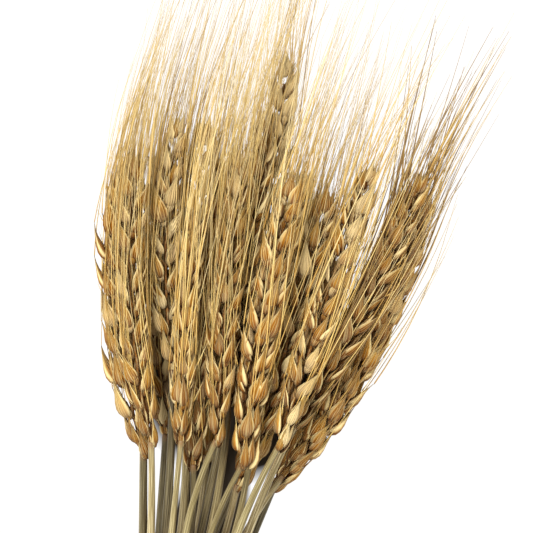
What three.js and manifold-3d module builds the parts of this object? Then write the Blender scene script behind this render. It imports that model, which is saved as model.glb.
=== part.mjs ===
// A bundle of dried bearded wheat that lies on a surface, tied with a few turns of twine.
// Millimetres, +Z up. The bundle's length runs along +Y, from the cut ends of the straws to the awns.
// The layout is measured from the middle of the tie, and the whole bundle is moved at the end, so that its
// origin is the middle of its bottom.
import * as THREE from "three";
import { mergeVertices } from "three/addons/utils/BufferGeometryUtils.js";
import Module from "manifold-3d";

// Straws
const STRAW_RADII = [1.65, 1.45, 1.6, 1.45, 1.6];
const STRAW_SIDES = 6;
const STRAW_STEPS = 8;
const STRAW_STEPS_BELOW = 3; // of them, those between the cut end and the tie
const STRAW_PITCH = 3.5; // from straw to straw in the tie
const CUT_END = -92; // the shortest straw's cut end
const CUT_STAGGER = 3.5; // how much longer the second straw is than the first, and the third than that
const OPENING = 0.12; // the share of the way to its ear on which a straw turns from the tie's direction
const FLARE = 1.7; // how much wider than in the tie the straws stand at their cut ends
const FOOT_GAP = 0.5; // between a straw's top and its ear

// Rows of straws and ears, one above the other
const ROW_PITCH = { cut: 4.9, tie: 3.4, ears: 12.4 };
const LOWEST_ROW = { cut: 1.7, tie: 4.0, ears: 4.5 }; // the height of its axes
const OPENED_AT = 135; // where the fan of rows has fully opened

// Ears
const SPIKELETS = 14;
const SPIKELET_LENGTH = 15;
const SPIKELET_WIDTH = 8.6;
const SPIKELET_DEPTH = 5;
const SPIKELET_SIDES = 4;
const SPIKELET_LEAN = 22; // degrees from the ear's axis
const SPIKELET_BELLY = 0.42; // where along its length a spikelet is widest
const SPIKELET_SUNK = 0.1; // the share of its length that is sunk behind its root
const FIRST_SPIKELET = 0.04; // places along the ear
const LAST_SPIKELET = 0.88;
const END_SPIKELET = 0.9;
const RACHIS_RADIUS = 2.1;
const RACHIS_SIDES = 4;
const EAR_HALF_DEPTH = 4.4; // across its two ranks
const EAR_RAIL = 2; // how much further than that each rank reaches out

// Awns
const AWN_RADIUS = 0.32;
const AWN_SIDES = 3;
const AWN_LENGTH = [82, 60]; // from the lowest spikelet, from the highest
const AWN_LEAN = [3, 12]; // degrees that an awn stands off its ear
const AWN_STRAY = [4, 15]; // degrees to either side, at the first try and at the last
const AWN_SHORTEST = 0.55; // the share of its length that an awn keeps at the last try
const AWN_TRIES = 160;
const AWN_AIM = 0.5; // how far an awn turns from its place on a bowed ear to the direction of the ear's end
const AWN_START = 0.86; // where on its spikelet an awn starts
const AWN_CLEAR = 0.3; // the least gap between an awn and another ear, straw or awn

// Tie
const TWINE = 2.1;
const TIE_WIDTH = 9;
const TIE_GAP = 0.45; // from the twine to the straws, which splay a little inside it
const KNOT_RADIUS = 3.2;
const KNOT_SHAPE = [1.3, 1, 0.7];
const KNOT_PLACE = 2; // how far to the right the knot sits
const KNOT_ENDS = [[4, -15], [-5, -13]]; // where the twine's two ends reach from the knot

// Each ear by its foot and its tip, seen from above, how far its middle bows to the right, the turn of its
// two ranks about its axis in degrees, how far its tip rises out of its row, and how far its straw swings to
// the right on its way. A turn of 0 shows both ranks from above, and 90 shows one rank's broad face. Rows run
// from the surface up, ears from left to right.
const ROWS = [
  [
    { foot: [-22, 112], tip: [-46, 207], bow: -3, turn: 30, rise: 0, swing: 0 },
    { foot: [-6, 108], tip: [-22, 214], bow: -1, turn: 60, rise: 0, swing: 1.8 },
    { foot: [8, 106], tip: [6, 212], bow: 1, turn: 20, rise: 0, swing: -3.5 },
    { foot: [20, 103], tip: [40, 196], bow: 3, turn: 25, rise: 0, swing: 0 },
  ],
  [
    { foot: [-31, 116], tip: [-58, 197], bow: -4, turn: 50, rise: 0, swing: 0 },
    { foot: [-16, 118], tip: [-33, 219], bow: -2, turn: 15, rise: 0, swing: 2.9 },
    { foot: [-3, 156], tip: [-11, 249], bow: 1, turn: 20, rise: 0, swing: -0.4 },
    { foot: [7, 101], tip: [17, 195], bow: 2, turn: 10, rise: 0, swing: 0.7 },
    { foot: [22, 108], tip: [47, 212], bow: 7, turn: 70, rise: 0, swing: -5 },
  ],
  [
    { foot: [-28, 105], tip: [-57, 203], bow: -6, turn: 0, rise: 0, swing: 0.5 },
    { foot: [-25, 136], tip: [-43, 218], bow: -3, turn: 5, rise: 0, swing: 1.9 },
    { foot: [-10, 105], tip: [-25, 210], bow: -1, turn: 75, rise: 0, swing: 3.1 },
    { foot: [-3, 130], tip: [-13, 228], bow: -1, turn: 40, rise: 0, swing: 2.7 },
    { foot: [9, 113], tip: [14, 204], bow: 1, turn: 10, rise: 0, swing: 2.2 },
    { foot: [22, 128], tip: [44, 220], bow: 2, turn: 40, rise: 0, swing: -2.5 },
  ],
  [
    { foot: [-26, 110], tip: [-54, 201], bow: -4, turn: 10, rise: -2, swing: 1.1 },
    { foot: [-16, 113], tip: [-29, 192], bow: -1, turn: 80, rise: 4, swing: 0.2 },
    { foot: [-4, 116], tip: [-18, 210], bow: -1, turn: 15, rise: 1, swing: -4.3 },
    { foot: [7, 110], tip: [2, 207], bow: -2, turn: -35, rise: 5, swing: -4.5 },
    { foot: [18, 120], tip: [26, 218], bow: 0, turn: -20, rise: 2, swing: -3.5 },
  ],
];
const WIDEST_ROW = 2;

const EAR_FINISH = { color: 0xc4a062, roughness: 0.72, metalness: 0 };
const STRAW_FINISH = { color: 0xb3a578, roughness: 0.55, metalness: 0 };
const TWINE_FINISH = { color: 0x9b7c50, roughness: 0.9, metalness: 0 };

const UP = new THREE.Vector3(0, 0, 1);
const { clamp, degToRad, lerp: mix, smoothstep } = THREE.MathUtils;
const wasm = await Module();
wasm.setup();

// A seeded draw from 0 to 1.
let seed = 20;
function draw() {
  seed = (seed * 1664525 + 1013904223) % 4294967296;
  return seed / 4294967296;
}

// 0 at a, 1 at b, and smooth between them.
const ease = (x, a, b) => smoothstep((x - a) / (b - a), 0, 1);

// The height of a row's axes at a distance y from the tie: the rows stand close in the tie, open like a fan
// towards the ears, and open a little again towards the cut ends.
function rowHeight(row, y) {
  const open = y < 0 ? ease(y, 0, CUT_END) : ease(y, TIE_WIDTH, OPENED_AT);
  const end = y < 0 ? "cut" : "ears";
  const pitch = mix(ROW_PITCH.tie, ROW_PITCH[end], open);
  return mix(LOWEST_ROW.tie, LOWEST_ROW[end], open) + row * pitch;
}

// The axis of an ear, from its foot to its tip, bowed sideways like a parabola.
class EarAxis extends THREE.Curve {
  constructor(ear, row) {
    super();
    this.ear = ear;
    this.row = row;
  }

  getPoint(t, target = new THREE.Vector3()) {
    const { foot, tip, bow, rise } = this.ear;
    const [dx, dy] = [tip[0] - foot[0], tip[1] - foot[1]];
    const aside = (4 * t * (1 - t) * bow) / Math.hypot(dx, dy);
    const y = foot[1] + dy * t - dx * aside;
    return target.set(foot[0] + dx * t + dy * aside, y, rowHeight(this.row, y) + rise * t * t);
  }

  // The ear's direction at t, the directions out to its ranks and across them, and its awns' direction.
  frame(t) {
    const along = this.getTangent(t);
    const right = new THREE.Vector3().crossVectors(along, UP).normalize();
    const out = right.applyAxisAngle(along, degToRad(this.ear.turn));
    const across = new THREE.Vector3().crossVectors(along, out);
    const aim = along.clone().lerp(this.getTangent(1), AWN_AIM).normalize();
    return { along, out, across, aim };
  }
}

// The axis of a straw: from its cut end through its place in the tie to the foot of its ear. The bundle is
// narrowest in the tie, where the straws run side by side, and opens evenly above it. A straw's steps are even
// in t, so that one is in the tie.
class StrawAxis extends THREE.Curve {
  constructor(earAxis, place, cutEnd) {
    super();
    this.row = earAxis.row;
    this.place = place;
    this.cutEnd = cutEnd;
    this.foot = earAxis.getPoint(0);
    this.swing = earAxis.ear.swing;
  }

  getUtoTmapping(u) {
    return u;
  }

  getPoint(t, target = new THREE.Vector3()) {
    const atTie = STRAW_STEPS_BELOW / STRAW_STEPS;
    if (t < atTie) {
      const y = this.cutEnd * (1 - t / atTie);
      return target.set(this.place * mix(1, FLARE, ease(y, 0, CUT_END)), y, rowHeight(this.row, y));
    }
    const s = (t - atTie) / (1 - atTie);
    const y = (this.foot.y - FOOT_GAP) * s;
    const there = (Math.hypot(s, OPENING) - OPENING) / (Math.hypot(1, OPENING) - OPENING);
    const aside = 6.75 * s * s * (1 - s) * this.swing;
    return target.set(mix(this.place, this.foot.x, there) + aside, y, rowHeight(this.row, y));
  }
}

// A closed geometry as a solid that can be joined and cut.
function solidOf(geometry) {
  const bare = geometry.clone();
  bare.deleteAttribute("normal");
  bare.deleteAttribute("uv");
  const merged = mergeVertices(bare, 1e-4);
  const vertProperties = merged.attributes.position.array;
  const triVerts = new Uint32Array(merged.index.array);
  return new wasm.Manifold(new wasm.Mesh({ numProp: 3, vertProperties, triVerts }));
}

// The geometries joined to one, and cut flat where they would reach below the surface they lie on.
function joined(geometries) {
  const ground = new THREE.BoxGeometry(400, 600, 20);
  ground.translate(0, 100, -10);
  const solid = wasm.Manifold.union(geometries.map(solidOf)).subtract(solidOf(ground));
  const mesh = solid.getMesh();
  const geometry = new THREE.BufferGeometry();
  geometry.setAttribute("position", new THREE.BufferAttribute(mesh.vertProperties, 3));
  geometry.setIndex(new THREE.BufferAttribute(mesh.triVerts, 1));
  return geometry;
}

// A spindle turned from a profile of [radius, distance] pairs and flattened to a share of its depth. It is
// set at a root along a direction, with its broad side across.
function spindle(profile, sides, root, direction, across, flatness = 1) {
  const geometry = new THREE.LatheGeometry(profile.map(([r, s]) => new THREE.Vector2(r, s)), sides);
  const thin = new THREE.Vector3().crossVectors(across, direction).normalize();
  const broad = new THREE.Vector3().crossVectors(direction, thin);
  const place = new THREE.Matrix4().makeBasis(broad, direction, thin);
  place.scale(new THREE.Vector3(1, 1, flatness));
  place.setPosition(root);
  return geometry.applyMatrix4(place);
}

// The slim rachis of an ear: a tapered rod bent along the axis.
function rachis(axis) {
  const girths = [[0, 0], [0.6, 0], [1, 0.2], [1, 0.6], [0.5, 0.95], [0, 0.95]];
  const profile = girths.map(([girth, t]) => new THREE.Vector2(RACHIS_RADIUS * girth, t));
  const geometry = new THREE.LatheGeometry(profile, RACHIS_SIDES);
  const position = geometry.attributes.position;
  for (let i = 0; i < position.count; i += 1) {
    const t = position.getY(i);
    const { out, across } = axis.frame(t);
    const point = axis.getPoint(t);
    point.addScaledVector(across, position.getX(i)).addScaledVector(out, position.getZ(i));
    position.setXYZ(i, point.x, point.y, point.z);
  }
  return geometry;
}

// How full an ear is at t: slender at the foot, full in the middle, drawn in at the tip.
const fullness = (t) => mix(0.78, 1, ease(t, 0, 0.2)) * mix(1, 0.76, ease(t, 0.7, 1));

// The shortest distance between two straight stretches, each with two ends.
function stretchDistance(one, other) {
  const u = one.to.clone().sub(one.from);
  const v = other.to.clone().sub(other.from);
  const between = one.from.clone().sub(other.from);
  const [uu, vv, uv] = [u.dot(u), v.dot(v), u.dot(v)];
  const [uw, vw] = [u.dot(between), v.dot(between)];
  const parallel = uu * vv - uv * uv < 1e-9;
  let s = parallel ? 0 : clamp((uv * vw - uw * vv) / (uu * vv - uv * uv), 0, 1);
  const t = clamp((uv * s + vw) / vv, 0, 1);
  s = clamp((uv * t - uw) / uu, 0, 1);
  return between.addScaledVector(u, s).addScaledVector(v, -t).length();
}

// What an awn keeps clear of: straight stretches with a radius, each owned by one stalk.
const taken = [];
function takeStretches(owner, pieces, radius, pointAt) {
  for (let i = 0; i < pieces; i += 1) {
    const full = fullness((i + 0.5) / pieces);
    const stretch = { from: pointAt(i / pieces), to: pointAt((i + 1) / pieces) };
    taken.push({ ...stretch, owner, radius: radius * full, awn: false });
  }
}

function isClear(awn) {
  if (awn.to.z < AWN_RADIUS + AWN_CLEAR) return false;
  const others = taken.filter((other) => other.awn || other.owner !== awn.owner);
  return others.every((other) => stretchDistance(awn, other) > other.radius + awn.radius + AWN_CLEAR);
}

// The stretch of an awn that starts at from and leans out on its rank's side. It is drawn again, shorter and
// further astray, until it is clear of everything else, or null where the ears lie too close for it.
function awnStretch(owner, from, frame, side, length) {
  for (let i = 0; i < AWN_TRIES; i += 1) {
    const late = i / AWN_TRIES;
    const stray = mix(AWN_STRAY[0], AWN_STRAY[1], late);
    const lean = side * mix(AWN_LEAN[0] - stray * late, AWN_LEAN[1], draw());
    const to = frame.aim.clone();
    to.addScaledVector(frame.out, Math.tan(degToRad(lean)));
    to.addScaledVector(frame.across, Math.tan(degToRad(stray * mix(-1, 1, draw()))));
    to.normalize().multiplyScalar(length * mix(1, AWN_SHORTEST, late)).add(from);
    const awn = { owner, from, to, radius: AWN_RADIUS, awn: true };
    if (isClear(awn)) return awn;
  }
  return null;
}

// One spikelet at t, a plump spindle on the side of its rank, 1 or -1, or 0 at the ear's end, with its awn.
function spikelet(owner, axis, t, side) {
  const frame = axis.frame(t);
  const lean = degToRad(SPIKELET_LEAN * side);
  const direction = frame.along.clone().multiplyScalar(Math.cos(lean));
  direction.addScaledVector(frame.out, Math.sin(lean));
  const root = axis.getPoint(t);
  const length = SPIKELET_LENGTH * fullness(t);
  const half = (SPIKELET_WIDTH / 2) * fullness(t);
  const profile = [[0, -SPIKELET_SUNK * length], [half, SPIKELET_BELLY * length], [0, length]];
  const flatness = SPIKELET_DEPTH / SPIKELET_WIDTH;
  const body = spindle(profile, SPIKELET_SIDES, root, direction, frame.across, flatness);
  const start = root.clone().addScaledVector(direction, AWN_START * length);
  const awn = awnStretch(owner, start, frame, side, mix(AWN_LENGTH[0], AWN_LENGTH[1], t));
  if (!awn) return [body];
  taken.push(awn);
  const reach = awn.to.clone().sub(start);
  const spine = [[0, 0], [AWN_RADIUS, 0.3], [0, reach.length()]];
  return [body, spindle(spine, AWN_SIDES, start, reach.normalize(), frame.across)];
}

function earGeometry(owner, axis) {
  const pieces = [rachis(axis), ...spikelet(owner, axis, END_SPIKELET, 0)];
  for (let i = 0; i < SPIKELETS; i += 1) {
    const t = mix(FIRST_SPIKELET, LAST_SPIKELET, i / (SPIKELETS - 1));
    pieces.push(...spikelet(owner, axis, t, i % 2 ? 1 : -1));
  }
  return joined(pieces);
}

function strawGeometry(axis, radius) {
  const section = new THREE.Shape();
  section.moveTo(radius, 0);
  for (let k = 1; k < STRAW_SIDES; k += 1) {
    const angle = (k / STRAW_SIDES) * 2 * Math.PI;
    section.lineTo(radius * Math.cos(angle), radius * Math.sin(angle));
  }
  return new THREE.ExtrudeGeometry(section, { steps: STRAW_STEPS, bevelEnabled: false, extrudePath: axis });
}

// A straw's place in its row in the tie, to the right of the middle.
const placeInTie = (row, i) => (i - (ROWS[row].length - 1) / 2) * STRAW_PITCH;

// The outline round the straws in the tie, at an offset from their axes: it runs straight between the straws
// that it bends round, the outer ones of the lowest, the widest and the top row.
function wrap(offset) {
  const right = [0, WIDEST_ROW, ROWS.length - 1].map((row) => {
    return new THREE.Vector2(placeInTie(row, ROWS[row].length - 1), rowHeight(row, 0));
  });
  const left = right.map((corner) => new THREE.Vector2(-corner.x, corner.y)).reverse();
  const corners = [...right, ...left];
  const facing = corners.map((corner, i) => {
    const next = corners[(i + 1) % corners.length];
    return Math.atan2(corner.x - next.x, next.y - corner.y);
  });
  const outline = new THREE.Shape();
  corners.forEach((corner, i) => {
    outline.absarc(corner.x, corner.y, offset, facing.at(i - 1), facing[i], false);
  });
  return outline;
}

// The turns of twine as one band, the knot on top of it, and the twine's two short ends.
function tieGeometry() {
  const inside = Math.max(...STRAW_RADII) + TIE_GAP;
  const outline = wrap(inside + TWINE);
  outline.holes.push(wrap(inside));
  const options = { depth: TIE_WIDTH, bevelEnabled: false, curveSegments: 3 };
  const band = new THREE.ExtrudeGeometry(outline, options);
  band.rotateX(Math.PI / 2);
  band.translate(0, TIE_WIDTH / 2, 0);
  const knotAt = new THREE.Vector3(KNOT_PLACE, 0, rowHeight(ROWS.length - 1, 0) + inside + TWINE);
  const knot = new THREE.SphereGeometry(KNOT_RADIUS, 8, 5);
  knot.scale(...KNOT_SHAPE);
  knot.translate(...knotAt);
  const ends = KNOT_ENDS.map(([x, y]) => {
    const length = Math.hypot(x, y);
    const profile = [[0, 0], [TWINE / 2, 1], [TWINE / 2, length], [0, length]];
    return spindle(profile, 5, knotAt, new THREE.Vector3(x, y, -TWINE / 4).normalize(), UP);
  });
  return joined([band, knot, ...ends]);
}

const bundle = new THREE.Group();
function addMesh(name, geometry, finish) {
  const mesh = new THREE.Mesh(geometry, new THREE.MeshStandardMaterial(finish));
  mesh.name = name;
  bundle.add(mesh);
}

const numbered = (name, i) => `${name}_${String(i + 1).padStart(2, "0")}`;
const stalks = ROWS.flatMap((ears, row) =>
  ears.map((ear, i) => ({ earAxis: new EarAxis(ear, row), place: placeInTie(row, i) })),
);
stalks.forEach(({ earAxis, place }, i) => {
  const radius = STRAW_RADII[i % STRAW_RADII.length];
  const axis = new StrawAxis(earAxis, place, CUT_END - CUT_STAGGER * (i % 3));
  addMesh(numbered("straw", i), strawGeometry(axis, radius), STRAW_FINISH);
  takeStretches(i, STRAW_STEPS, radius, (t) => axis.getPoint(t));
  [-1, 1].forEach((side) => {
    const aside = (t) => side * EAR_RAIL * fullness(t);
    const rank = (t) => earAxis.getPoint(t).addScaledVector(earAxis.frame(t).out, aside(t));
    takeStretches(i, STRAW_STEPS, EAR_HALF_DEPTH, rank);
  });
});
stalks.forEach(({ earAxis }, i) => addMesh(numbered("ear", i), earGeometry(i, earAxis), EAR_FINISH));
addMesh("tie", tieGeometry(), TWINE_FINISH);

// The origin goes to the middle of the bottom.
const middle = new THREE.Box3().setFromObject(bundle, true).getCenter(new THREE.Vector3());
bundle.position.set(-middle.x, -middle.y, 0);

export default bundle;
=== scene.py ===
# %% [markdown]
# # A bundle of dried bearded wheat
# Twenty ears on their straws, tied with twine, lie on a white table and are seen from straight above. The
# CAD model has plump spindles for spikelets, plain rods for straws, and a band with a lump for the tie. Here
# every ear gets its scales and fine awns on the same bent line, every straw its hollow cut end and its joint,
# and the tie its twisted yarn.

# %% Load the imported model
import math

import bpy
import numpy as np
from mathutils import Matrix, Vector


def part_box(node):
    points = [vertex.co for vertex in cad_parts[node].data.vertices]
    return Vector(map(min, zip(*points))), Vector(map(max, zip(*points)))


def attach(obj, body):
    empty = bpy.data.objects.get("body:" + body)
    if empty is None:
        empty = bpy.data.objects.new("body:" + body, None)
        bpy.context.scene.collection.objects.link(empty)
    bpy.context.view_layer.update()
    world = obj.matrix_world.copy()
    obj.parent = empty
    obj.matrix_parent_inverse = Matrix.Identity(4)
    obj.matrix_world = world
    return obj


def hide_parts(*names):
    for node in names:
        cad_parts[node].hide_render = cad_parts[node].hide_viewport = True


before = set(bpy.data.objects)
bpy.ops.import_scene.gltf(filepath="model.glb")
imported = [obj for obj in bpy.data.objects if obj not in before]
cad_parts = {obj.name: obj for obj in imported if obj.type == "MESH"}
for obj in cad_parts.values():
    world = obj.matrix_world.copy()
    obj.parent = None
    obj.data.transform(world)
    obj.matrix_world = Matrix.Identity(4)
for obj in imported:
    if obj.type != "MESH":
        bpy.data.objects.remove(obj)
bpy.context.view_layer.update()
MM = 0.001  # m
TIE_WIDTH = 9  # mm
low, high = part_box("tie")
TIE_MIDDLE = np.array([(low.x + high.x) / 2 / MM, high.y / MM - TIE_WIDTH / 2, 0])

# %% [markdown]
# ## The camera
# A bunch of straws can't stand, so it lies down, and the camera looks straight down on it. From close by the
# ears on top would look larger than those below, and an orthographic camera would flatten them, so a long
# lens far away was chosen. The picture is turned, so that the bundle leans to the right in it. Places on the
# bundle are in millimetres from the middle of the tie.

# %% Camera
PICTURE_SIDE = 533  # pixels
PIXEL = 0.35  # mm on the object
PICTURE_MIDDLE = np.array([-1.1, 179.2, 40])  # mm from the tie, at the height of the upper ears
PICTURE_LEAN = math.radians(13.5)
CAMERA_DISTANCE = 1200  # mm
SENSOR = 36  # mm
SIGHT = 20  # m, how far the camera sees


def new_object(name, data):
    """An object that shows that data, in the scene."""
    made = bpy.data.objects.new(name, data)
    bpy.context.scene.collection.objects.link(made)
    return made


camera = new_object("camera", bpy.data.cameras.new("camera"))
camera.location = (TIE_MIDDLE + PICTURE_MIDDLE + [0, 0, CAMERA_DISTANCE]) * MM
camera.rotation_euler = (0, 0, PICTURE_LEAN)
camera.data.sensor_width = SENSOR
camera.data.lens = SENSOR * CAMERA_DISTANCE / (PICTURE_SIDE * PIXEL)
camera.data.clip_end = SIGHT
bpy.context.scene.camera = camera
print("lens", round(camera.data.lens), "mm")

# %% [markdown]
# ## Where the ears lie
# Each ear has a foot, where its straw ends, a tip, and a middle that bows sideways. Its turn says which side
# it shows: at 0 both of its ranks of spikelets are seen from above, at 90 the broad face of one rank. The
# rows lie one above the other, close together in the tie and opened like a fan at the ears. One table holds
# it all, so that an ear, its awns and its straw always move together.

# %% Layout of the ears
# foot x, y and tip x, y in mm, bow in mm, turn in degrees, rise of the tip and swing of the straw in mm, how
# much paler it is than others, and the size of its grains
ROWS = [
    [
        (-22, 112, -46, 207, -3, 30, 0, 0, 0.1, 1),
        (-6, 108, -22, 214, -1, 60, 0, 1.8, 0, 0.95),
        (8, 106, 6, 212, 1, 20, 0, -3.5, 0, 1),
        (20, 103, 40, 196, 3, 25, 0, 0, 0, 0.95),
    ],
    [
        (-31, 116, -58, 197, -4, 50, 0, 0, 0, 0.95),
        (-16, 118, -33, 219, -2, 15, 0, 2.9, 0, 1),
        (-3, 156, -11, 249, 1, 20, 0, -0.4, 1, 0.9),
        (7, 101, 17, 195, 2, 10, 0, 0.7, -0.15, 1),
        (22, 108, 47, 212, 7, 70, 0, -5, -0.1, 1.05),
    ],
    [
        (-28, 105, -57, 203, -6, 0, 0, 0.5, 0, 1),
        (-25, 136, -43, 218, -3, 5, 0, 1.9, 0.28, 0.9),
        (-10, 105, -25, 210, -1, 75, 0, 3.1, -0.35, 0.9),
        (-3, 130, -13, 228, -1, 40, 0, 2.7, 0.1, 0.9),
        (9, 113, 14, 204, 1, 10, 0, 2.2, 0, 1),
        (22, 128, 44, 220, 2, 40, 0, -2.5, -0.1, 0.94),
    ],
    [
        (-26, 110, -54, 201, -4, 10, -2, 1.1, 0.05, 0.9),
        (-16, 113, -29, 192, -1, 80, 4, 0.2, 0.15, 0.84),
        (-4, 116, -18, 210, -1, 15, 1, -4.3, 0, 0.86),
        (7, 110, 2, 207, -2, -35, 5, -4.5, 0.05, 1.05),
        (18, 120, 26, 218, 0, -20, 2, -3.5, 0.2, 0.93),
    ],
]
print(sum(len(row) for row in ROWS), "ears in", len(ROWS), "rows")

# %% Height of the rows
ROW_PITCH = {"cut": 4.9, "tie": 3.4, "ears": 12.4}  # mm from row to row
LOWEST_ROW = {"cut": 1.7, "tie": 4.0, "ears": 4.5}  # mm above the table
CUT_END = -92  # mm from the tie, the shortest straws' ends
OPENED_AT = 135  # mm from the tie, where the rows have opened


def mix(a, b, share):
    """a at a share of 0, b at 1, and even between: a + (b - a) share."""
    return a + (b - a) * share


def ease(x, a, b):
    """0 at a, 1 at b, and smooth between: t^2 (3 - 2 t), where t runs from a to b."""
    t = np.clip((x - a) / (b - a), 0, 1)
    return t * t * (3 - 2 * t)


def row_height(row, y):
    """Height of a row's middle lines at y mm from the tie: the lowest row's, plus row times the pitch. Both
    ease from the tie's to the cut ends' or the ears'."""
    opened = np.where(y < 0, ease(y, 0, CUT_END), ease(y, TIE_WIDTH, OPENED_AT))
    pitch, lowest = (
        mix(size["tie"], np.where(y < 0, size["cut"], size["ears"]), opened)
        for size in (ROW_PITCH, LOWEST_ROW)
    )
    return lowest + row * pitch


IN_TIE = np.array(0.0)  # mm from the tie
print("the upper row lies", row_height(len(ROWS) - 1, IN_TIE), "mm high in the tie")

# %% [markdown]
# ## An ear is modelled straight and then bent
# It is easy to place scales on a straight ear, so each is made upright in its own three directions: out to
# its ranks, across them, and along the ear. Then every point moves to the bent line: the distance along picks
# a place there, and the other two are laid off sideways. A Curve modifier could bend one object so. The sum
# below bends all points at once, and can keep some awns stiff.

# %% Ways along a path
UP = np.array([0.0, 0, 1])


def unit(vectors):
    """Each vector, divided by its length."""
    return vectors / np.linalg.norm(vectors, axis=-1, keepdims=True)


def way_along(path):
    """Distance along a path at each of its points: 0, then the sum of the steps so far."""
    return np.append(0, np.cumsum(np.linalg.norm(np.diff(path, axis=0), axis=1)))


def between(values, way, at):
    """Values known at the distances way, at other distances: straight from one to the next."""
    return np.stack([np.interp(at, way, column) for column in values.T], 1)


# %% The bent line of an ear
EAR_SAMPLES, STEP = 60, 2  # points of its line from foot to tip, and mm between points beyond
BEYOND, BEFORE = 130, 16  # mm that it runs on past its tip, for the awns, and down before its foot
COMBED_WAY = 36  # mm past the tip, over which the awns turn
COMBED_TO = (3, 12)  # degrees to the right, where left ears' and right ears' awns turn to
COMBED_FROM = (-30, 45)  # mm from the middle, tips of left ears and of right ears


def ear_line(ear, row):
    """The chord from foot to tip, plus a parabola 4 t (1 - t) bow to its right. It runs on straight past both
    ends, but past the tip it turns to the right, if it points left of where awns there are combed to. At each
    sample, right is along x up, out is right turned about along, and across is along x out."""
    x0, y0, x1, y1, bow, turn, rise = ear[:7]
    dx, dy = x1 - x0, y1 - y0
    t = np.linspace(0, 1, EAR_SAMPLES)
    aside = 4 * t * (1 - t) * bow / math.hypot(dx, dy)
    y = y0 + dy * t - dx * aside
    line = np.stack([x0 + dx * t + dy * aside, y, row_height(row, y) + rise * t * t], 1)
    start, end = unit(line[1] - line[0]), unit(line[-1] - line[-2])
    before = line[0] - start * np.arange(BEFORE, 0, -STEP)[:, None]
    way = np.arange(STEP, BEYOND, STEP)[:, None]
    combed_to = math.radians(mix(*COMBED_TO, ease(x1, *COMBED_FROM)))
    combed = max(combed_to - math.atan2(end[0], end[1]), 0)
    turned = combed * np.minimum(way, COMBED_WAY) / COMBED_WAY
    aim = unit(end + unit(np.cross(end, UP)) * np.tan(turned))
    line = np.vstack([before, line, line[-1] + np.cumsum(STEP * aim, axis=0)])
    run = way_along(line) - BEFORE
    along = unit(np.gradient(line, run, axis=0))
    right = unit(np.cross(along, UP))
    angle = math.radians(turn)
    out = right * math.cos(angle) + np.cross(along, right) * math.sin(angle)
    length = run[len(before) + EAR_SAMPLES - 1]
    return {
        "run": run, "line": line, "along": along, "out": out, "across": np.cross(along, out), "length": length
    }


LINES = [[ear_line(ear, row) for ear in ears] for row, ears in enumerate(ROWS)]
print("the first ear is", round(LINES[0][0]["length"]), "mm long")


# %% Bending to the line
def at_run(line, key, at):
    """A line's value of that key at each of the distances along it."""
    return between(line[key], line["run"], at)


def bend(line, points, roots=None, stiff=0.0):
    """Moves points of a straight ear, given as (out, across, along), to its bent line: the line's point at
    along, plus out times the first and across times the second. A stiff part is mixed, by its stiffness, with
    what goes straight on from its roots."""
    def laid_off(at):
        there = at_run(line, "line", at)
        return there + at_run(line, "out", at) * points[:, :1] + at_run(line, "across", at) * points[:, 1:2]

    bent = laid_off(points[:, 2])
    if not stiff:
        return bent
    straight = laid_off(roots) + at_run(line, "along", roots) * (points[:, 2] - roots)[:, None]
    return mix(bent, straight, stiff)


print("first ear's foot", bend(LINES[0][0], np.zeros((1, 3))).round(1))

# %% [markdown]
# ## From arrays to a mesh
# All shapes below are closed tubes: a point, rings of points, and a point. A scale, an awn, a straw and a
# strand of twine differ only in where those lie. Thousands of scales as objects would be slow to make and to
# keep, so one function lists a tube's faces, and one puts many tubes into one mesh. Every point also carries
# its place on its own tube, which the materials read, and a tone that makes one scale paler than the next.


# %% Tubes
def ring_angles(count):
    """Even angles round a ring of that many points, from 0 on."""
    return np.arange(count) / count * 2 * math.pi


def tube_faces(rings, around):
    """Quads between rings, and triangles to the first and the last point, all facing out."""
    ring = 1 + np.arange(rings * around).reshape(rings, around)
    after = np.roll(ring, -1, axis=1)
    walls = np.stack([ring[:-1], after[:-1], after[1:], ring[1:]], -1).reshape(-1, 4)
    first = np.stack([np.zeros(around, int), after[0], ring[0]], 1)
    last = np.stack([np.full(around, rings * around + 1), ring[-1], after[-1]], 1)
    return walls, np.vstack([first, last])


def tubes(points, place, tone, rings, around, slot=0):
    """Many alike tubes as one part of a piece: points and place are (tubes, points, 3), tone (tubes,)."""
    count, size = points.shape[:2]
    walls, ends = tube_faces(rings, around)
    shift = (np.arange(count) * size)[:, None, None]
    return {
        "points": points.reshape(-1, 3), "place": place.reshape(-1, 3), "tone": np.repeat(tone, size),
        "walls": (walls + shift).reshape(-1, 4), "ends": (ends + shift).reshape(-1, 3), "slot": slot,
    }


print("faces of a tube of two rings of three:", sum(map(len, tube_faces(2, 3))))

# %% Pieces
TABLE_GAP = 0.6  # mm, how softly the lowest ears are pressed flat on the table


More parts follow.
